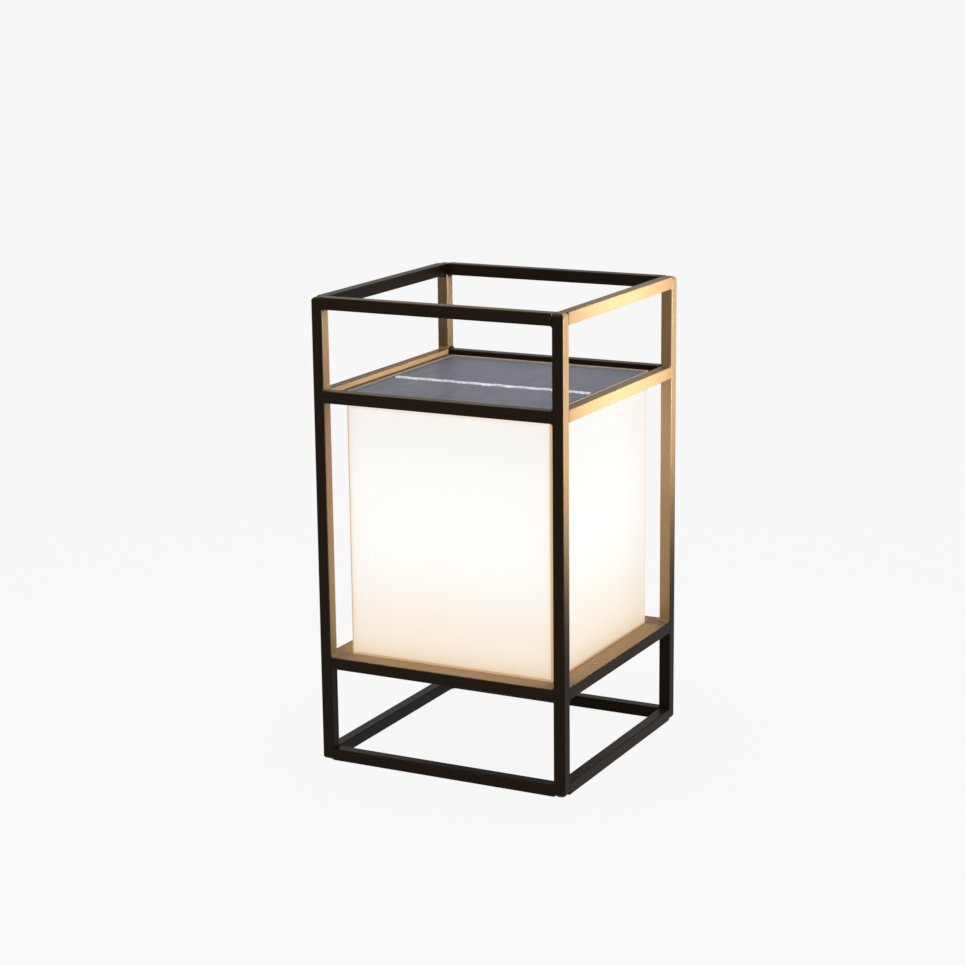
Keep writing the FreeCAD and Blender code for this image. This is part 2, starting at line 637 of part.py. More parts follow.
def make_switch():
    """Button that is pushed up into a switch, in a housing under the cover's back edge."""
    housing = slab("switch_housing", "switch_length", "switch_breadth", "switch_drop",
                   "switch_wall", z="switch_under", y="switch_line")
    cavity = start_sketch(housing, lift="switch_wall")
    draw_rectangle(cavity, "switch_cavity_x", "switch_cavity_y")
    pocket(housing, cavity, "switch_drop")
    hole = start_sketch(housing)
    draw_circle(hole, "button_width + 2 * button_fit")
    pocket(housing, hole, "switch_wall")
    switch = slab("switch_body", "switch_cavity_x", "switch_cavity_y", "switch_body_drop",
                  z="switch_body_under", y="switch_line")
    bore = start_sketch(switch)
    draw_circle(bore, "plunger_width + 2 * button_fit")
    pocket(switch, bore, "switch_bore_depth")
    button = start_body("power_button", y="switch_line", z="switch_floor")
    steps = (("button_width", "-switch_wall - button_proud", "switch_wall + button_proud"),
             ("button_width + 2 * button_rim", "0", "button_rim_thick"),
             ("plunger_width", "button_rim_thick", "plunger_length"))
    for diameter, lift, length in steps:
        sketch = start_sketch(button, lift=lift)
        draw_circle(sketch, diameter)
        pad(button, sketch, length)


def check_and_export():
    doc.recompute()
    for item in doc.Objects:
        if {"Invalid", "Error"} & set(item.State):
            raise RuntimeError(f"{item.Name} failed: {item.State}")
    for part in parts:
        if part.Shape.isNull() or not part.Shape.isValid():
            raise RuntimeError(f"{part.Label} has no valid shape")
    os.makedirs("parts", exist_ok=True)
    for part in parts:
        part.Shape.exportStep(f"parts/{part.Label}.step")


make_frame()
make_light_box()
make_screws("light_box_screws", "box_screw", "box_screw", "tray_under")
make_solar_panel()
make_cover()
make_lamp_housing()
make_battery_door()
make_screws("door_screws", "well_screw_x", "well_screw_y", "door_under")
make_batteries()
make_boards()
make_switch()
check_and_export()
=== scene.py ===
import math
import random
import bmesh
import bpy
from mathutils import Matrix, Vector


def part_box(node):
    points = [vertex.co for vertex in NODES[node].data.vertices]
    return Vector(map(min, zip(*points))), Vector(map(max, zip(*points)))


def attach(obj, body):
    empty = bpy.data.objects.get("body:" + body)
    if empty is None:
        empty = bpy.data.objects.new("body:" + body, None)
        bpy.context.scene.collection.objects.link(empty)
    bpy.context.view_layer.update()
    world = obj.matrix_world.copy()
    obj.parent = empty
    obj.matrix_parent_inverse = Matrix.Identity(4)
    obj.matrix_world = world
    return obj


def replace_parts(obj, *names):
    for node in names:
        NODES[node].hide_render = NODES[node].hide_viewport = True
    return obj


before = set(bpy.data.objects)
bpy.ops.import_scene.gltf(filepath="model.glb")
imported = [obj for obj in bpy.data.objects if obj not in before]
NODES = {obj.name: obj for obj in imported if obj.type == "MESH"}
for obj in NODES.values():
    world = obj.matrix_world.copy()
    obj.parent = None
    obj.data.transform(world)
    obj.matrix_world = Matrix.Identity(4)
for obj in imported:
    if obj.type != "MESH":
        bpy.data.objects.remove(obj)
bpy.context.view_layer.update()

bl_info = {
    "name": "Solar Table Lantern",
    "version": (1, 0, 0),
    "blender": (4, 5, 0),
    "location": "3D View > Sidebar > Lantern",
    "description": "Finishes and small pieces of a square solar table lantern",
    "category": "Object",
}

MM = 0.001
WHITE = (1, 1, 1)
PHOTO_PIXELS = 965
SHARP_ANGLE = math.radians(38)
RINGS = ("base", "tray", "panel", "top")
SIDES = ("front", "right", "back", "left")
CORNERS = ("front_left", "front_right", "back_right", "back_left")
PAINTED = ([f"post_{corner}" for corner in CORNERS]
           + [f"{ring}_rail_{side}" for ring in RINGS for side in SIDES]
           + [f"seat_lug_{corner}" for corner in CORNERS] + ["tray_plate"])


# Settings

def colour(name, default, description):
    return bpy.props.FloatVectorProperty(name=name, description=description, default=default,
                                         subtype="COLOR", size=3, min=0, max=1)


def length(name, default, description):
    return bpy.props.FloatProperty(name=name, description=description, default=default,
                                   min=0, unit="LENGTH", precision=5)


def factor(name, default, description):
    return bpy.props.FloatProperty(name=name, description=description, default=default,
                                   min=0, max=1, subtype="FACTOR")


def angle(name, degrees, description):
    return bpy.props.FloatProperty(name=name, description=description,
                                   default=math.radians(degrees), unit="ROTATION")


def level(name, default, description):
    return bpy.props.FloatProperty(name=name, description=description, default=default, min=0)


class LanternFinish(bpy.types.PropertyGroup):
    """Colours and surface values of the lantern."""
    bronze: colour("Bronze paint", (0.0175, 0.0110, 0.0058), "Powder coat of the frame")
    bronze_light: colour("Bronze fleck", (0.030, 0.0185, 0.0095), "Lighter flecks in the paint")
    paint_rough: factor("Paint roughness", 0.40, "Roughness of the powder coat")
    opal: colour("Opal", (0.78, 0.77, 0.74), "Opal acrylic of the light box")
    glow_top: colour("Glow at the top", (0.58, 0.585, 0.58), "Light of the box near the lamps")
    glow_foot: colour("Glow at the foot", (0.54, 0.455, 0.335), "Light of the box at its foot")
    # The next colour is also used for the painted reflection of the panel rail, a warm band just
    # under the top of the box.
    edge_glow_and_rail_reflection: colour("Glow at the edges", (0.50, 0.35, 0.20), "Light in the box's thick edges")
    # The next colour is a darker line along the box's upright edges and its foot: partly the glued
    # seam, partly painted shade where the edges turn away and where the box stands on the tray.
    seam_and_edge_shade: colour("Opal at the edges", (0.40, 0.25, 0.12), "Acrylic of the glued edges")
    cell: colour("Solar cell", (0.118, 0.128, 0.178), "Silicon under the window")
    cell_light: colour("Cell mottling", (0.200, 0.208, 0.262), "Paler patches of the silicon")
    cell_vein: colour("Cell veins", (0.42, 0.42, 0.46), "Fine cracks in the silicon")
    vein: factor("Vein strength", 0.22, "How far the veins show")
    cell_line: colour("Cell lines", (0.27, 0.28, 0.32), "Fine printed lines on the cells")
    cell_gap: colour("Cell gaps", (0.075, 0.080, 0.10), "Gaps between the cells of a row")
    window: colour("Panel window", (0.24, 0.25, 0.29), "Clear textured laminate")
    solder: colour("Solder ribbon", (0.95, 0.96, 0.98), "Tinned ribbon between the rows")
    seal: colour("Sealant", (0.84, 0.70, 0.57), "Sealant line round the panel")
    white: colour("White moulding", (0.80, 0.80, 0.78), "Lamp housing and battery door")
    sleeve: colour("Battery sleeve", (0.05, 0.16, 0.34), "Shrink sleeve of the battery cells")


class LanternSizes(bpy.types.PropertyGroup):
    """Sizes of the small pieces and of the surface detail."""
    peel: length("Powder grain", 0.9 * MM, "Size of the powder coat's grain")
    edge_glow: length("Edge glow", 6 * MM, "Width of the warm glow at the box's edges")
    # The next width is that of the line of glued seam and painted shade at the box's edges and
    # foot.
    seam_and_shade_width: length("Edge line", 2.1 * MM, "Width of the glue line at the box's edges")
    finger: length("Finger pitch", 1.9 * MM, "Spacing of the printed lines on a cell")
    cell_pitch: length("Cell pitch", 27.2 * MM, "Length of one cell in a row")
    ribbon_wide: length("Ribbon width", 5.2 * MM, "Width of the solder on the ribbon")
    ribbon_wave: length("Ribbon wander", 1.2 * MM, "How far the ribbon's edges wander")
    recess: length("Screw recess", 0.55 * MM, "Half the width of a screw's cross recess")
    seal_wave: length("Sealant wander", 0.06 * MM, "Unevenness of the sealant line")


class LanternStage(bpy.types.PropertyGroup):
    """Camera and lamps."""
    azimuth: angle("Azimuth", 26.89, "Camera's turn to the right of the front")
    elevation: angle("Elevation", 13.231, "Camera's height above the horizon")
    roll: angle("Roll", -0.557, "Camera's roll")
    distance: length("Distance", 1.7901, "Camera to the point it is aimed past")
    target: length("Target height", 0.198, "Height of that point above the floor")
    focal: level("Focal length", 2391.7, "Focal length in pixels of the photograph")
    centre_x: level("Centre across", 500.26, "Photograph pixel on the lens's axis")
    centre_y: level("Centre down", 487.47, "Photograph pixel on the lens's axis")
    backdrop: factor("Backdrop", 0.955, "Grey level of the floor and backdrop")
    world: level("World light", 0.34, "Even light from all round")
    box_light: level("Box light", 3.4, "Power of the lamp at each face of the box, in watts")
    side_light: level("Side light", 13.0, "Power of the warm panel at the right, in watts")
    rail_light: level("Rail light", 2.0, "Power of the strip that lights the left rail, in watts")
    top_light: level("Top light", 14.0, "Power of the soft lamp overhead, in watts")


# Shader nodes

class Wire:
    """An output socket; arithmetic on it adds Math nodes."""

    def __init__(self, maker, socket):
        self.maker = maker
        self.socket = socket

    def math(self, operation, *others):
        return self.maker.node("ShaderNodeMath", {"operation": operation}, (self, *others))

    def math_after(self, operation, first):
        return self.maker.node("ShaderNodeMath", {"operation": operation}, (first, self))

    def __add__(self, other):
        return self.math("ADD", other)

    def __radd__(self, other):
        return self.math("ADD", other)

    def __sub__(self, other):
        return self.math("SUBTRACT", other)

    def __rsub__(self, other):
        return self.math_after("SUBTRACT", other)

    def __mul__(self, other):
        return self.math("MULTIPLY", other)

    def __rmul__(self, other):
        return self.math("MULTIPLY", other)

    def __truediv__(self, other):
        return self.math("DIVIDE", other)

    def __rtruediv__(self, other):
        return self.math_after("DIVIDE", other)

    def __abs__(self):
        return self.math("ABSOLUTE")


class Shader:
    """A node tree, built node by node."""

    def __init__(self, tree):
        self.tree = tree
        self.tree.nodes.clear()

    def plug(self, socket, amount):
        if isinstance(amount, Wire):
            self.tree.links.new(amount.socket, socket)
        elif socket.type == "RGBA" and len(amount) == 3:
            socket.default_value = (*amount, 1.0)
        else:
            socket.default_value = amount

    def node(self, kind, settings=None, inputs=(), output=0):
        """A new node: its type, its settings, then the values or wires of its inputs."""
        made = self.tree.nodes.new(kind)
        for name, setting in (settings or {}).items():
            setattr(made, name, setting)
        named = inputs.items() if isinstance(inputs, dict) else enumerate(inputs)
        for name, amount in named:
            self.plug(made.inputs[name], amount)
        return Wire(self, made.outputs[output]) if len(made.outputs) else None

    def mix(self, amount, first, second):
        return self.node("ShaderNodeMix", {"data_type": "RGBA"},
                         {0: amount, 6: first, 7: second}, output=2)

    def blend(self, amount, first, second):
        return self.node("ShaderNodeMixShader", inputs=(amount, first, second))

    def seen_or_real(self, seen, real, share=1.0):
        """What the camera, gloss and clear pieces see as seen, and light meets as real."""
        straight, gloss, clear = (self.node("ShaderNodeLightPath", output=name) for name in
                                  ("Is Camera Ray", "Is Glossy Ray", "Is Transmission Ray"))
        looked_at = straight.math("MAXIMUM", gloss).math("MAXIMUM", clear)
        return self.blend(looked_at * share, real, seen)


class Finish(Shader):
    """A material with one Principled surface, whose sockets the keyword names stand for."""

    def __init__(self, name, **constants):
        self.material = bpy.data.materials.new(name)
        self.material.use_nodes = True
        super().__init__(self.material.node_tree)
        shade = self.node("ShaderNodeBsdfPrincipled")
        self.surface = shade.socket.node
        self.node("ShaderNodeOutputMaterial", inputs=(shade,))
        for socket, amount in constants.items():
            self.set(socket.replace("_", " ").title().replace("Ior", "IOR"), amount)

    def set(self, socket, amount):
        self.plug(self.surface.inputs[socket], amount)

    def place(self):
        return self.node("ShaderNodeTexCoord", output="Object")

    def axis(self, which):
        return self.node("ShaderNodeSeparateXYZ", inputs=(self.place(),), output=which)

    def noise(self, size, detail=3.0, roughness=0.55, stretch=None):
        where = self.place()
        if stretch:
            where = self.node("ShaderNodeVectorMath", {"operation": "MULTIPLY"}, (where, stretch))
        return self.node("ShaderNodeTexNoise", inputs={"Vector": where, "Scale": 1 / size,
                                                       "Detail": detail, "Roughness": roughness})

    def between(self, wire, low, high, out_low=0.0, out_high=1.0):
        """The wire mapped smoothly from low..high to out_low..out_high."""
        return self.node("ShaderNodeMapRange", {"interpolation_type": "SMOOTHSTEP"},
                         (wire, low, high, out_low, out_high))

    def bump(self, height, distance, strength=1.0):
        self.set("Normal", self.node("ShaderNodeBump", inputs={
            "Strength": strength, "Distance": distance, "Height": height}))


def settings():
    scene = bpy.context.scene
    return scene.lantern_finish, scene.lantern_sizes, scene.lantern_stage


# Finishes

def bronze_paint(name, dark, light, rough=0.0):
    look, sizes, _ = settings()
    finish = Finish(name, specular_ior_level=0.05)
    grain = finish.noise(sizes.peel, 4.0, 0.6)
    cloud = finish.noise(28 * sizes.peel, 3.0, 0.5)
    fleck = finish.between(grain, 0.52, 0.74)
    tint = finish.mix(fleck * 0.55 + cloud * 0.25, tuple(dark), tuple(light))
    finish.set("Base Color", tint)
    finish.set("Roughness", look.paint_rough - 0.07 + grain * 0.10 + cloud * 0.08 + rough)
    finish.bump(grain, 0.00004, 0.35)
    return finish.material


def opal_acrylic():
    look, sizes, _ = settings()
    low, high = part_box("light_box")
    finish = Finish("opal_acrylic", specular_ior_level=0.3, emission_strength=1.0)
    x, y, z = (finish.axis(i) for i in range(3))
    rise = finish.between(z, low.z, low.z + 0.5 * (high.z - low.z))
    glow = finish.mix(rise, tuple(look.glow_foot), tuple(look.glow_top))
    side = (high.x - low.x) / 2
    near = (side - abs(x).math("MINIMUM", abs(y))).math("MINIMUM", z - low.z)
    # Painted reflection: a warm band just under the panel rail. It stands in for the rail's
    # underside throwing the box's light back onto the box.
    painted_rail_reflection = finish.between(z, high.z - 9 * MM, high.z - 5.5 * MM)
    warm = 1 - finish.between(near, 0.5 * sizes.seam_and_shade_width, sizes.edge_glow)
    # Painted shade with the glued seam: a darker line at the upright edges and along the foot, in
    # both the emission and the base colour.
    seam_and_shade = 1 - finish.between(near, 0.75 * sizes.seam_and_shade_width, sizes.seam_and_shade_width)
    cloud = finish.noise(0.05, 2.0, 0.4)
    glow = finish.mix((warm * 0.55).math("MAXIMUM", painted_rail_reflection * 0.45), glow,
                      tuple(look.edge_glow_and_rail_reflection))
    finish.set("Emission Color", finish.mix(seam_and_shade * 0.7, glow, tuple(look.seam_and_edge_shade)))
    finish.set("Base Color", finish.mix(seam_and_shade * 0.8, tuple(look.opal), tuple(look.seam_and_edge_shade)))
    finish.set("Roughness", 0.28 + cloud * 0.08)
    finish.bump(finish.noise(0.0012, 2.0), 0.00001, 0.2)
    return finish.material


def silicon():
    """Mottled cells with fine veins, printed lines and gaps between the cells of a row."""
    look, sizes, _ = settings()
    finish = Finish("silicon_cell", roughness=0.5, specular_ior_level=0.25)
    x = finish.axis(0)
    across = abs(((x / sizes.finger).math("FRACT") - 0.5) * 2)
    fingers = finish.between(across, 0.86, 0.98)
    joint = abs((((x / sizes.cell_pitch) + 0.5).math("FRACT") - 0.5) * 2)
    gaps = finish.between(joint, 0.975, 0.99)
    streak = finish.noise(0.010, 5.0, 0.65, (1.6, 0.35, 1.0))
    ridge = abs(finish.noise(0.030, 4.0, 0.6, (2.4, 0.5, 1.0)) - 0.5)
    veins = look.vein - finish.between(ridge, 0.0, 0.014) * look.vein
    base = finish.mix(finish.between(streak, 0.3, 0.72), tuple(look.cell), tuple(look.cell_light))
    veined = finish.mix(veins, base, tuple(look.cell_vein))
    lined = finish.mix(fingers * 0.35, veined, tuple(look.cell_line))
    finish.set("Base Color", finish.mix(gaps * 0.6, lined, tuple(look.cell_gap)))
    finish.set("Roughness", 0.42 + streak * 0.2)
    return finish.material


def panel_window():
    look, _, _ = settings()
    finish = Finish("panel_window", base_color=tuple(look.window), alpha=0.14, roughness=0.3,
                    specular_ior_level=0.35)
    ripple = finish.noise(0.0035, 3.0, 0.6, (1.0, 0.45, 1.0))
    scratch = finish.noise(0.006, 6.0, 0.7, (0.25, 2.2, 1.0))
    finish.set("Roughness", 0.26 + ripple * 0.12)
    finish.bump(ripple * 0.6 + scratch * 0.4, 0.00006, 0.4)
    return finish.material


def plain(name, tint, rough, grain=0.0008, depth=0.00002, variation=0.12, **constants):
    """A moulded or coated surface: even colour, slight mottling and a fine skin."""
    finish = Finish(name, **constants)
    skin = finish.noise(grain, 3.0)
    cloud = finish.noise(18 * grain, 2.0)
    dark = tuple(c * (1 - variation) for c in tint)
    finish.set("Base Color", finish.mix(cloud * 0.7 + skin * 0.3, dark, tuple(tint)))
    finish.set("Roughness", rough - 0.05 + skin * 0.1)
    finish.bump(skin, depth, 0.4)
    return finish.material


def brushed_zinc():
    finish = Finish("zinc_plate", metallic=1.0)
    rub = finish.noise(0.0006, 4.0, 0.6, (1.0, 0.15, 1.0))
    finish.set("Base Color", finish.mix(rub, (0.42, 0.42, 0.43), (0.66, 0.66, 0.67)))
    finish.set("Roughness", 0.26 + rub * 0.18)
    finish.bump(rub, 0.00001, 0.3)
    return finish.material


def solder():
    look, _, _ = settings()
    finish = Finish("tinned_ribbon", metallic=1.0)
    lump = finish.noise(0.0012, 4.0, 0.7)
    finish.set("Base Color", finish.mix(lump, tuple(0.8 * c for c in look.solder),
                                        tuple(look.solder)))
    finish.set("Roughness", 0.35 + lump * 0.25)
    finish.bump(lump, 0.0001, 0.5)
    return finish.material


def phosphor():
    finish = Finish("chip_phosphor", base_color=(0.95, 0.72, 0.22), roughness=0.35,
                    emission_color=(1.0, 0.82, 0.52), emission_strength=1.2)
    finish.bump(finish.noise(0.0004, 2.0), 0.00001, 0.3)
    return finish.material


# Meshes

def give(node, material):
    """The finish of a piece that keeps its shape."""
    mesh = NODES[node].data
    mesh.materials.clear()
    mesh.materials.append(material)


def new_piece(name, mesh, body, slot, *materials):
    mesh.validate()
    piece = bpy.data.objects.new(name, mesh)
    bpy.context.scene.collection.objects.link(piece)
    for material in materials:
        mesh.materials.append(material)
    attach(piece, body)
    return piece


def mesh_from(name, points, faces, smooth=True):
    mesh = bpy.data.meshes.new(name)
    mesh.from_pydata(points, [], faces)
    work = bmesh.new()
    work.from_mesh(mesh)
    bmesh.ops.recalc_face_normals(work, faces=work.faces)
    work.to_mesh(mesh)
    work.free()
    if smooth:
        mesh.shade_smooth()
        mesh.set_sharp_from_angle(angle=SHARP_ANGLE)
    return mesh


def join_meshes(name, meshes):
    """One mesh from several; each keeps its own material numbers."""
    work = bmesh.new()
    for mesh in meshes:
        work.from_mesh(mesh)
    made = bpy.data.meshes.new(name)
    work.to_mesh(made)
    work.free()
    made.shade_smooth()
    made.set_sharp_from_angle(angle=SHARP_ANGLE)
    return made


def on_circle(centre, radius, turn, height):
    return centre + Vector((radius * math.cos(turn), radius * math.sin(turn), height))


def lathe(name, profile, centre, segments=64):
    """A solid of revolution about the upright axis through centre; profile is (radius, height)."""
    points, faces, rings = [], [], []
    for radius, height in profile:
        if radius == 0:
            rings.append([len(points)] * segments)
            points.append(centre + Vector((0, 0, height)))
            continue
        rings.append(list(range(len(points), len(points) + segments)))
        for i in range(segments):
            turn = 2 * math.pi * i / segments
            points.append(on_circle(centre, radius, turn, height))
    for lower, upper in zip(rings, rings[1:]):
        for i in range(segments):
            after = (i + 1) % segments
            loop = (lower[i], lower[after], upper[after], upper[i])
            face = tuple(dict.fromkeys(loop))
            if len(face) > 2:
                faces.append(face)
    return mesh_from(name, points, faces)


def islands(node):
    """The boxes of a node's separate solids, as (lowest corner, highest corner)."""
    work = bmesh.new()
    work.from_mesh(NODES[node].data)
    bmesh.ops.remove_doubles(work, verts=work.verts, dist=1e-6)
    left = set(work.verts)
    boxes = []
    while left:
        group, grow = set(), [left.pop()]
        while grow:
            vert = grow.pop()
            group.add(vert)
            near = {edge.other_vert(vert) for edge in vert.link_edges} & left
            left -= near
            grow.extend(near)
        low = Vector([min(vert.co[i] for vert in group) for i in range(3)])
        high = Vector([max(vert.co[i] for vert in group) for i in range(3)])
        boxes.append((low, high))
    work.free()
    return sorted(boxes, key=lambda pair: tuple(round(c, 6) for c in pair[0]))


def rounded_square(half, radius, steps=10):
    """Points round a square with round corners, anticlockwise from the front left."""
    points = []
    for i, (sx, sy) in enumerate(((-1, -1), (1, -1), (1, 1), (-1, 1))):
        for step in range(steps + 1):
            turn = math.pi * (1 + i / 2 + step / steps / 2)
            points.append((sx * (half - radius) + radius * math.cos(turn),
                           sy * (half - radius) + radius * math.sin(turn)))
    return points


def block(low, high, edge, name="block", material=0):
    """A box with bevelled edges."""
    work = bmesh.new()
    bmesh.ops.create_cube(work, size=1.0)
    for vert in work.verts:
        vert.co = Vector([(low[i] + high[i]) / 2 + vert.co[i] * (high[i] - low[i])
                          for i in range(3)])
    bmesh.ops.bevel(work, geom=work.edges[:], offset=edge, segments=2, affect="EDGES",
                    profile=0.7)
    for face in work.faces:
        face.material_index = material
    mesh = bpy.data.meshes.new(name)
    work.to_mesh(mesh)
    work.free()
    return mesh


# Pieces

class LanternOperator(bpy.types.Operator):
    """Base of the lantern's operators."""
    bl_options = {"REGISTER", "UNDO"}


class LANTERN_OT_frame(LanternOperator):
    """Paint the welded frame, its lugs and the tray"""
    bl_idname = "lantern.frame"
    bl_label = "Paint frame"

    def execute(self, context):
        look, _, _ = settings()
        paint = bronze_paint("bronze_powder_coat", look.bronze, look.bronze_light)
        for node in PAINTED:
            give(node, paint)
        return {"FINISHED"}


class LANTERN_OT_feet(LanternOperator):
    """Turned rubber feet with a soft edge and a dimple"""
    bl_idname = "lantern.feet"
    bl_label = "Rubber feet"

    def execute(self, context):
        rubber = plain("foot_rubber", (0.030, 0.029, 0.028), 0.75)
        for corner in CORNERS:
            node = f"foot_{corner}"
            low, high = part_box(node)
            middle = (low + high) / 2
            radius, thick = (high.x - low.x) / 2, MM
            stem = 0.58 * radius
            profile = ((0, 0.00025), (0.35 * radius, 0.0002), (0.45 * radius, 0),
                       (0.86 * radius, 0), (0.97 * radius, 0.00012), (radius, 0.00035),
                       (radius, thick - 0.0001), (0.98 * radius, thick), (stem, thick),
                       (stem, high.z - 0.0006), (0.7 * stem, high.z), (0, high.z))
            mesh = lathe(f"rubber_foot_{corner}", profile, Vector((middle.x, middle.y, 0)))
            piece = new_piece(mesh.name, mesh, "frame", "foot_rubber", rubber)
            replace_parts(piece, node)
        return {"FINISHED"}


def pan_head(centre, radius, thick, recess, bottom):
    """A pan head seen from below, with a cross recess, and its shank up to the given height."""
    rings, spokes = 16, 96
    points, faces = [], []
    for ring in range(rings + 1):
        part = ring / rings
        for spoke in range(spokes):
            turn = 2 * math.pi * spoke / spokes
            u, v = part * radius * math.cos(turn), part * radius * math.sin(turn)
            crown = thick * (0.45 + 0.55 * math.sqrt(max(0.0, 1 - part ** 2)))
            arm, reach = min(abs(u), abs(v)), math.hypot(u, v)
            taper = max(0.0, 1 - reach / (0.62 * radius))
            in_recess = arm < recess * (0.6 + 0.6 * taper)
            sunk = 0.7 * thick * min(1.0, 2.2 * taper) if in_recess else 0
            points.append(centre + Vector((u, v, -crown + sunk)))
    for ring in range(rings):
        for spoke in range(spokes):
            after = (spoke + 1) % spokes
            a, b = ring * spokes, (ring + 1) * spokes
            if ring == 0:
                faces.append((a + spoke, b + spoke, b + after))
            else:
                faces.append((a + spoke, b + spoke, b + after, a + after))
    rim = rings * spokes
    shank = 0.5 * radius
    shoulder = ((radius, -0.08 * thick), (0.97 * radius, 0), (shank, 0), (shank, bottom))
    for reach, height in shoulder:
        start = len(points)
        for spoke in range(spokes):
            turn = 2 * math.pi * spoke / spokes
            points.append(on_circle(centre, reach, turn, height))
        for spoke in range(spokes):
            after = (spoke + 1) % spokes
            faces.append((rim + spoke, start + spoke, start + after, rim + after))
        rim = start
    faces.append(tuple(range(rim, rim + spokes)))
    return mesh_from("pan_head", points, faces)


class LANTERN_OT_screws(LanternOperator):
    """Cross-recess pan screws under the tray and under the battery door"""
    bl_idname = "lantern.screws"
    bl_label = "Screws"

    def execute(self, context):
        _, sizes, _ = settings()
        zinc = brushed_zinc()
        for node, body, carrier in (("light_box_screws", "frame", "tray_plate"),
                                    ("door_screws", "solar_head", "battery_door")):
            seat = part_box(carrier)[0].z
            heads = []
            for low, high in islands(node):
                centre = Vector(((low.x + high.x) / 2, (low.y + high.y) / 2, seat))
                heads.append(pan_head(centre, (high.x - low.x) / 2, seat - low.z, sizes.recess,
                                      high.z - seat))
            mesh = join_meshes(f"cross_{node}", heads)
            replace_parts(new_piece(mesh.name, mesh, body, "screw_steel", zinc), node)
        return {"FINISHED"}


class LANTERN_OT_light_box(LanternOperator):
    """Opal acrylic that glows from the top"""
    bl_idname = "lantern.light_box"
    bl_label = "Light box"

    def execute(self, context):
        give("light_box", opal_acrylic())
        return {"FINISHED"}


class LANTERN_OT_solar_panel(LanternOperator):
    """Cells, wavering ribbon, clear window and sealant bead"""
    bl_idname = "lantern.solar_panel"
    bl_label = "Solar panel"

    def execute(self, context):
        cells = silicon()
        give("cell_row_front", cells)
        give("cell_row_back", cells)
        give("panel_backing", plain("panel_backing", (0.05, 0.052, 0.062), 0.6))
        give("panel_window", panel_window())
        self.make_ribbon()
        self.make_sealant()
        return {"FINISHED"}

    def make_ribbon(self):
        _, sizes, _ = settings()
        low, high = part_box("cell_ribbon")
        chance = random.Random(7)
        steps = 240
        half = sizes.ribbon_wide / 2
        middle = (low.y + high.y) / 2
        crest = high.z + 1.2 * MM
        points, faces = [], []
        for i in range(steps + 1):
            x = low.x + (high.x - low.x) * i / steps
            wander = sizes.ribbon_wave * (0.5 * math.sin(0.21 * i) + 0.35 * math.sin(0.83 * i + 1))
            front = -half * 0.82 + wander + chance.uniform(-0.4, 0.4) * sizes.ribbon_wave
            back = half * 0.82 + wander + chance.uniform(-0.4, 0.4) * sizes.ribbon_wave
            top = crest - 0.4 * MM * chance.random()
            points += [(x, middle + front, high.z), (x, middle + 0.8 * front, top - 0.1 * MM),
                       (x, middle + (front + back) / 2, top),
                       (x, middle + 0.8 * back, top - 0.1 * MM), (x, middle + back, high.z)]
        for i in range(steps):
            a, b = 5 * i, 5 * (i + 1)
            for k in range(5):
                after = (k + 1) % 5
                faces.append((a + k, a + after, b + after, b + k))
        faces.append(tuple(range(5)))
        faces.append(tuple(range(5 * steps, 5 * steps + 5)))
        mesh = mesh_from("solder_ribbon", points, faces)
        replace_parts(new_piece(mesh.name, mesh, "solar_head", "solder_ribbon", solder()),
                    "cell_ribbon")

    def make_sealant(self):
        look, sizes, _ = settings()
        low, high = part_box("panel_seal")
        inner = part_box("panel_window")[1].x
        outer = high.x
        corner = 2 * MM
        chance = random.Random(11)
        rails = [rounded_square(inner + (outer - inner) * part, corner + (outer - inner) * part)
                 for part in (0.02, 0.25, 0.5, 0.75, 0.98)]
        rises = (0.35, 0.8, 1.0, 0.8, 0.35)
        crown = 0.0003
        points, faces = [], []
        count = len(rails[0])
        for i in range(count):
            lift = chance.uniform(-1, 1) * sizes.seal_wave
            points.append((*rails[0][i], low.z))
            for rail, rise in zip(rails, rises):
                points.append((*rail[i], high.z - crown + (crown + lift) * rise))
            points.append((*rails[-1][i], low.z))
        section = 7
        for i in range(count):
            a, b = section * i, section * ((i + 1) % count)
            for k in range(section):
                after = (k + 1) % section
                faces.append((a + k, a + after, b + after, b + k))
        bead = plain("sealant", tuple(look.seal), 0.5, 0.0006)
        mesh = mesh_from("sealant_bead", points, faces)
        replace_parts(new_piece(mesh.name, mesh, "solar_head", "sealant", bead), "panel_seal")


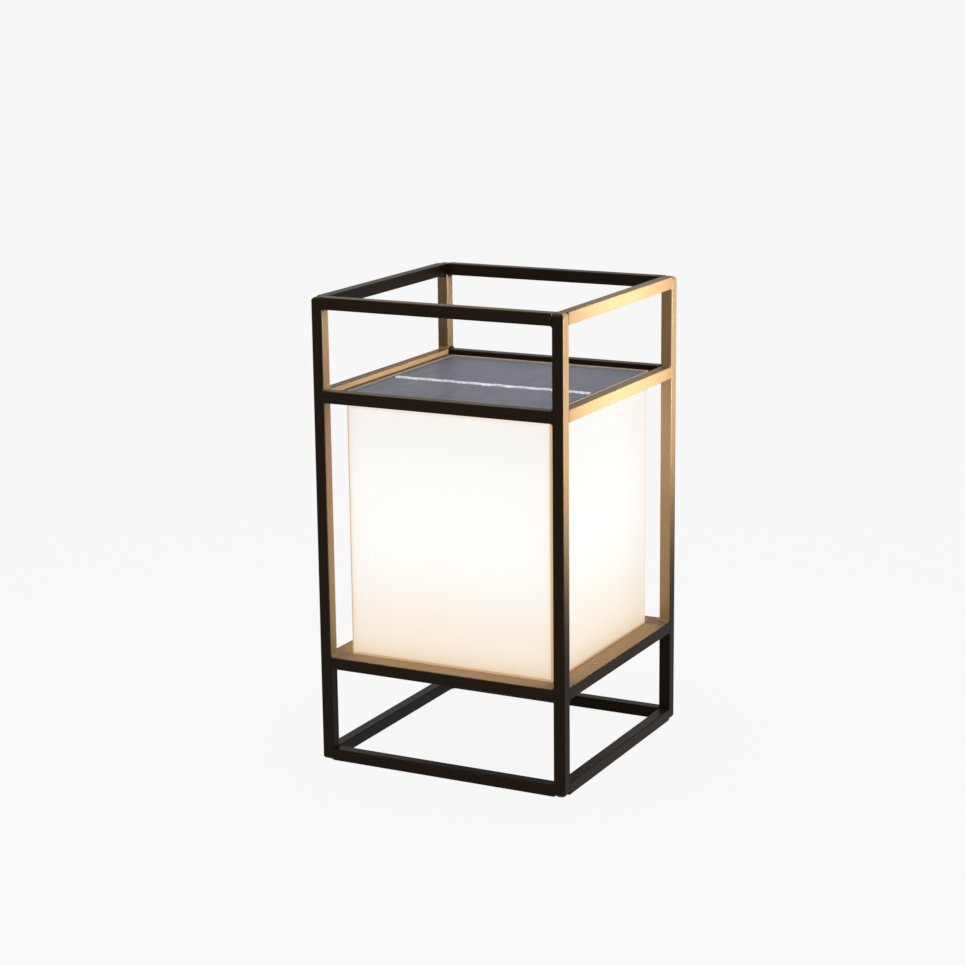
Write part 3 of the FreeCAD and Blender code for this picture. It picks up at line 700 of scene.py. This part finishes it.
class LANTERN_OT_head(LanternOperator):
    """Cover, lamp housing, battery well and boards of the solar head"""
    bl_idname = "lantern.head"
    bl_label = "Solar head"

    def execute(self, context):
        look, _, _ = settings()
        moulded = bronze_paint("bronze_moulding", look.bronze, look.bronze_light, 0.06)
        white = plain("white_moulding", tuple(look.white), 0.42)
        sleeve = plain("battery_sleeve", tuple(look.sleeve), 0.3)
        finishes = {
            "head_cover": moulded,
            "switch_housing": moulded,
            "switch_body": plain("switch_moulding", (0.03, 0.03, 0.03), 0.5),
            "lamp_housing": white,
            "battery_door": white,
            "door_gasket": plain("gasket_foam", (0.05, 0.05, 0.05), 0.9, 0.0006),
            "battery_cell_front": sleeve,
            "battery_cell_back": sleeve,
            "nickel_strips": plain("nickel", (0.60, 0.57, 0.50), 0.3, metallic=1.0),
            "battery_pad": plain("foam_pad", (0.12, 0.12, 0.13), 0.95, 0.0012, 0.0003),
            "control_board": plain("green_solder_mask", (0.02, 0.13, 0.05), 0.35, 0.0005),
            "light_board": plain("white_solder_mask", (0.82, 0.82, 0.80), 0.35, 0.0005),
        }
        for node, material in finishes.items():
            give(node, material)
        self.make_chips()
        return {"FINISHED"}

    def make_chips(self):
        """Each chip is a white package with a round phosphor window."""
        chips = []
        for low, high in islands("light_chips"):
            middle = (low + high) / 2
            chips.append(block(low + Vector((0, 0, 0.0001)), high, 0.00012, material=0))
            radius = 0.36 * min(high.x - low.x, high.y - low.y)
            lens = lathe("lens", ((0, low.z), (radius * 0.8, low.z), (radius, low.z + 0.00008),
                                  (radius, low.z + 0.0003)), Vector((middle.x, middle.y, 0)), 32)
            for polygon in lens.polygons:
                polygon.material_index = 1
            chips.append(lens)
        mesh = join_meshes("light_packages", chips)
        package = plain("chip_package", (0.85, 0.85, 0.82), 0.4, 0.0004)
        piece = new_piece(mesh.name, mesh, "solar_head", "light_chip", package, phosphor())
        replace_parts(piece, "light_chips")


class LANTERN_OT_button(LanternOperator):
    """Domed rubber button with a grip ring"""
    bl_idname = "lantern.button"
    bl_label = "Power button"

    def execute(self, context):
        low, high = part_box("power_button")
        middle = (low + high) / 2
        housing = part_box("switch_housing")[0].z
        floor = housing + 1.2 * MM
        rim = (high.x - low.x) / 2
        radius = rim - 0.6 * MM
        stem = 1.2 * MM
        profile = ((0, low.z), (0.30 * radius, low.z + 0.00003), (0.52 * radius, low.z + 0.00014),
                   (0.58 * radius, low.z + 0.00030), (0.66 * radius, low.z + 0.00022),
                   (0.86 * radius, low.z + 0.00042), (0.96 * radius, low.z + 0.0007),
                   (radius, low.z + 0.0011), (radius, floor), (rim, floor),
                   (rim, floor + 0.0008), (stem, floor + 0.0008), (stem, high.z), (0, high.z))
        mesh = lathe("rubber_button", profile, Vector((middle.x, middle.y, 0)), 96)
        rubber = plain("button_rubber", (0.035, 0.034, 0.033), 0.62, 0.0003)
        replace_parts(new_piece(mesh.name, mesh, "button", "button_rubber", rubber), "power_button")
        return {"FINISHED"}


# Stage

class LANTERN_OT_stage(LanternOperator):
    """Pale floor and backdrop, soft lamps and the camera"""
    bl_idname = "lantern.stage"
    bl_label = "Stage"

    def execute(self, context):
        _, _, stage = settings()
        context.scene.view_settings.view_transform = "Standard"
        self.make_world(context.scene, stage)
        self.make_floor(stage)
        self.make_lamps(stage)
        self.make_camera(context.scene, stage)
        return {"FINISHED"}

    def make_world(self, scene, stage):
        world = bpy.data.worlds.new("pale_backdrop")
        scene.world = world
        world.use_nodes = True
        shader = Shader(world.node_tree)
        seen = shader.node("ShaderNodeBackground", inputs=(WHITE, stage.backdrop))
        real = shader.node("ShaderNodeBackground", inputs=((1.0, 0.97, 0.93), stage.world))
        shader.node("ShaderNodeOutputWorld", inputs=(shader.seen_or_real(seen, real),))

    def make_floor(self, stage):
        """A floor that is seen from above and is clear from beneath."""
        reach, share = 60.0, 0.96
        corners = [(-reach, -reach, 0), (reach, -reach, 0), (reach, reach, 0), (-reach, reach, 0)]
        mesh = bpy.data.meshes.new("floor")
        mesh.from_pydata(corners, [], [(0, 1, 2, 3)])
        floor = bpy.data.objects.new("floor", mesh)
        bpy.context.scene.collection.objects.link(floor)
        material = bpy.data.materials.new("pale_floor")
        material.use_nodes = True
        shader = Shader(material.node_tree)
        seen = shader.node("ShaderNodeEmission", inputs=(WHITE, stage.backdrop))
        matt = shader.node("ShaderNodeBsdfDiffuse", inputs=((0.9, 0.9, 0.9),))
        beneath = shader.node("ShaderNodeNewGeometry", output="Backfacing")
        clear = shader.node("ShaderNodeBsdfTransparent")
        shader.node("ShaderNodeOutputMaterial", inputs=(
            shader.blend(beneath, shader.seen_or_real(seen, matt, share), clear),))
        mesh.materials.append(material)

    def make_lamp(self, name, place, aim, wide, tall, watts, tint, only=None, spread=180):
        """A soft lamp; only names the nodes it lights, and spread is in degrees."""
        light = bpy.data.lights.new(name, "AREA")
        light.shape = "RECTANGLE"
        light.size, light.size_y = wide, tall
        light.energy = watts
        light.color = tint
        light.spread = math.radians(spread)
        lamp = bpy.data.objects.new(name, light)
        bpy.context.scene.collection.objects.link(lamp)
        lamp.location = place
        lamp.rotation_mode = "QUATERNION"
        lamp.rotation_quaternion = (Vector(aim) - Vector(place)).to_track_quat("-Z", "Y")
        lamp.visible_camera = False
        if only:
            lit = bpy.data.collections.new(f"{name}_lights")
            for node in only:
                lit.objects.link(NODES[node])
            lamp.light_linking.receiver_collection = lit
        return lamp

    def make_lamps(self, stage):
        warm, straw = (1.0, 0.90, 0.70), (1.0, 0.96, 0.80)
        bronze = PAINTED + ["head_cover", "switch_housing"]
        shaded = ("top_rail_left", "top_rail_back", "panel_rail_back")
        low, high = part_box("light_box")
        middle = (low + high) / 2
        wide, tall = high.x - low.x, high.z - low.z
        off_the_face = 0.5 * MM
        for side, turn in zip(SIDES, (0, 90, 180, 270)):
            out = Matrix.Rotation(math.radians(turn), 3, "Z") @ Vector((0, -1, 0))
            place = middle + out * (wide / 2 + off_the_face)
            lamp = self.make_lamp(f"box_light_{side}", place, place + out, wide, tall,
                                  stage.box_light, warm, bronze)
            lamp.visible_glossy = False
        self.make_lamp("side_light", (0.25, 0.002, 0.345), (0, 0.002, 0.345), 0.195, 0.31,
                       stage.side_light, straw,
                       [node for node in bronze if node not in shaded], 75)
        rail = self.make_lamp("rail_light", (0.02, 0, 0.292), (-0.091, 0, 0.281), 0.20, 0.02,
                              stage.rail_light, straw, ["panel_rail_left"])
        rail.visible_glossy = False
        self.make_lamp("soft_top", (0, -0.1, 1.6), (0, -0.1, 0), 1.4, 1.4, stage.top_light, WHITE)

    def make_camera(self, scene, stage):
        a, e, roll = stage.azimuth, stage.elevation, stage.roll
        back = Vector((math.sin(a) * math.cos(e), -math.cos(a) * math.cos(e), math.sin(e)))
        right = (-back).cross(Vector((0, 0, 1))).normalized()
        up = right.cross(-back)
        rolled_right = right * math.cos(roll) + up * math.sin(roll)
        rolled_up = up * math.cos(roll) - right * math.sin(roll)
        data = bpy.data.cameras.new("camera")
        data.sensor_fit = "HORIZONTAL"
        data.sensor_width = 36.0
        data.lens = data.sensor_width * stage.focal / PHOTO_PIXELS
        data.shift_x = (PHOTO_PIXELS / 2 - stage.centre_x) / PHOTO_PIXELS
        data.shift_y = (stage.centre_y - PHOTO_PIXELS / 2) / PHOTO_PIXELS
        data.clip_start, data.clip_end = 0.05, 200.0
        camera = bpy.data.objects.new("camera", data)
        scene.collection.objects.link(camera)
        turn = Matrix((rolled_right, rolled_up, back)).transposed()
        place = Vector((0, 0, stage.target)) + back * stage.distance
        camera.matrix_world = Matrix.Translation(place) @ turn.to_4x4()
        scene.camera = camera


class LANTERN_PT_panel(bpy.types.Panel):
    """The lantern's operators and settings"""
    bl_label = "Lantern"
    bl_idname = "LANTERN_PT_panel"
    bl_space_type = "VIEW_3D"
    bl_region_type = "UI"
    bl_category = "Lantern"

    def draw(self, context):
        for operator in OPERATORS:
            self.layout.operator(operator.bl_idname)
        for group in settings():
            box = self.layout.box()
            for name in group.__annotations__:
                box.prop(group, name)


OPERATORS = (LANTERN_OT_frame, LANTERN_OT_feet, LANTERN_OT_screws, LANTERN_OT_light_box,
             LANTERN_OT_solar_panel, LANTERN_OT_head, LANTERN_OT_button, LANTERN_OT_stage)
GROUPS = {"lantern_finish": LanternFinish, "lantern_sizes": LanternSizes,
          "lantern_stage": LanternStage}


def register():
    for group in GROUPS.values():
        bpy.utils.register_class(group)
    for name, group in GROUPS.items():
        setattr(bpy.types.Scene, name, bpy.props.PointerProperty(type=group))
    for operator in OPERATORS:
        bpy.utils.register_class(operator)
    bpy.utils.register_class(LANTERN_PT_panel)


def unregister():
    bpy.utils.unregister_class(LANTERN_PT_panel)
    for operator in reversed(OPERATORS):
        bpy.utils.unregister_class(operator)
    for name, group in GROUPS.items():
        delattr(bpy.types.Scene, name)
        bpy.utils.unregister_class(group)


def main():
    register()
    for operator in OPERATORS:
        group, name = operator.bl_idname.split(".")
        getattr(getattr(bpy.ops, group), name)()


if __name__ == "__main__":
    main()
